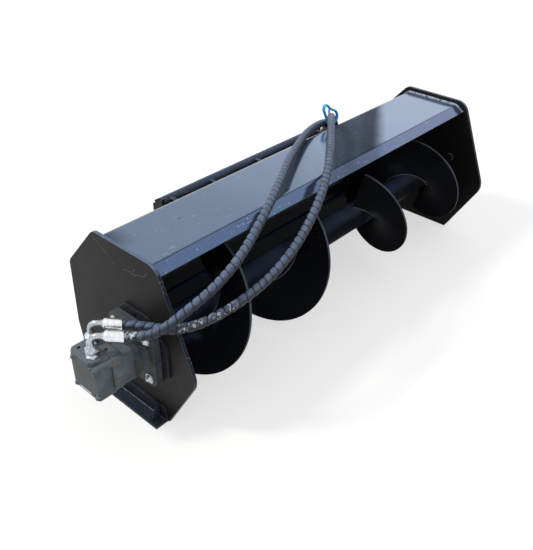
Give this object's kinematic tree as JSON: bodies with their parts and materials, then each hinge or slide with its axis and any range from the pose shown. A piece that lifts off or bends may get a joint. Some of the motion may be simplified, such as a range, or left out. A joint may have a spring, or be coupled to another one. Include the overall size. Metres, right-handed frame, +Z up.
{
  "type": "auger backfiller attachment",
  "caption": "Open-fronted steel hood with a horizontal double-handed auger, an end-mounted hydraulic motor with two hoses, angle-iron feet and a hooked mounting plate at the back.",
  "frame": {"origin": "centre of the footprint's bounding box without the hoses, at ground level under the feet", "axes": "+X along the auger away from the motor, +Y towards the mounting plate, +Z up"},
  "size_m": [1.404, 0.7409, 0.4745],
  "materials": {
    "hood_steel": "hot-rolled plate, worn and dusty",
    "black_paint": "satin black paint, worn",
    "auger_steel": "bare worn steel",
    "motor_paint": "satin dark blue-grey paint",
    "zinc": "bright zinc plate",
    "machined_steel": "machined",
    "bearing_iron": "painted casting",
    "hose_rubber": "black hose under a spiral guard",
    "blue_rubber": "blue moulded strap"
  },
  "bodies": {
    "hood": {"hood_sheet": "hood_steel", "wear_bar": "hood_steel", "near_end_plate": "black_paint", "far_end_plate": "black_paint", "near_foot_angle": "black_paint", "far_foot_angle": "black_paint", "near_foot_gusset_front": "black_paint", "near_foot_gusset_rear": "black_paint", "far_foot_gusset_front": "black_paint", "far_foot_gusset_rear": "black_paint", "motor_plate": "black_paint", "mount_plate": "black_paint", "hook_cheek_near": "black_paint", "hook_cheek_far": "black_paint", "mount_rib_1": "black_paint", "mount_rib_2": "black_paint", "mount_rib_3": "black_paint", "mount_rib_4": "black_paint", "mount_rib_5": "black_paint", "flange_housing": "motor_paint", "gear_ring": "motor_paint", "port_housing": "motor_paint", "cover_bolt_1": "zinc", "cover_bolt_2": "zinc", "cover_bolt_3": "zinc", "cover_bolt_4": "zinc", "flange_bolt_1": "zinc", "flange_bolt_2": "zinc", "flange_bolt_3": "zinc", "flange_bolt_4": "zinc", "bearing_nut_1": "zinc", "bearing_nut_2": "zinc", "bearing_nut_3": "zinc", "bearing_nut_4": "zinc", "port_adapter_1": "zinc", "port_adapter_2": "zinc", "swivel_nut_1": "zinc", "swivel_nut_2": "zinc", "hose_tube_1": "zinc", "hose_tube_2": "zinc", "hose_ferrule_1": "zinc", "hose_ferrule_2": "zinc", "end_ferrule_1": "zinc", "end_ferrule_2": "zinc", "coupler_1": "zinc", "coupler_2": "zinc", "bearing_housing": "bearing_iron", "hose_1": "hose_rubber", "hose_2": "hose_rubber", "dust_cap_strap": "blue_rubber"},
    "auger": {"motor_shaft": "machined_steel", "shaft_key": "machined_steel", "drive_hub": "machined_steel", "auger_pipe": "auger_steel", "left_flight": "auger_steel", "right_flight": "auger_steel", "stub_shaft": "machined_steel", "bearing_ring": "machined_steel"}
  },
  "joints": [
    {"name": "auger_spin", "type": "hinge", "parent": "hood", "child": "auger", "pos_m": [0.054, -0.06101, 0.19], "axis": [1, 0, 0], "continuous": true}
  ]
}
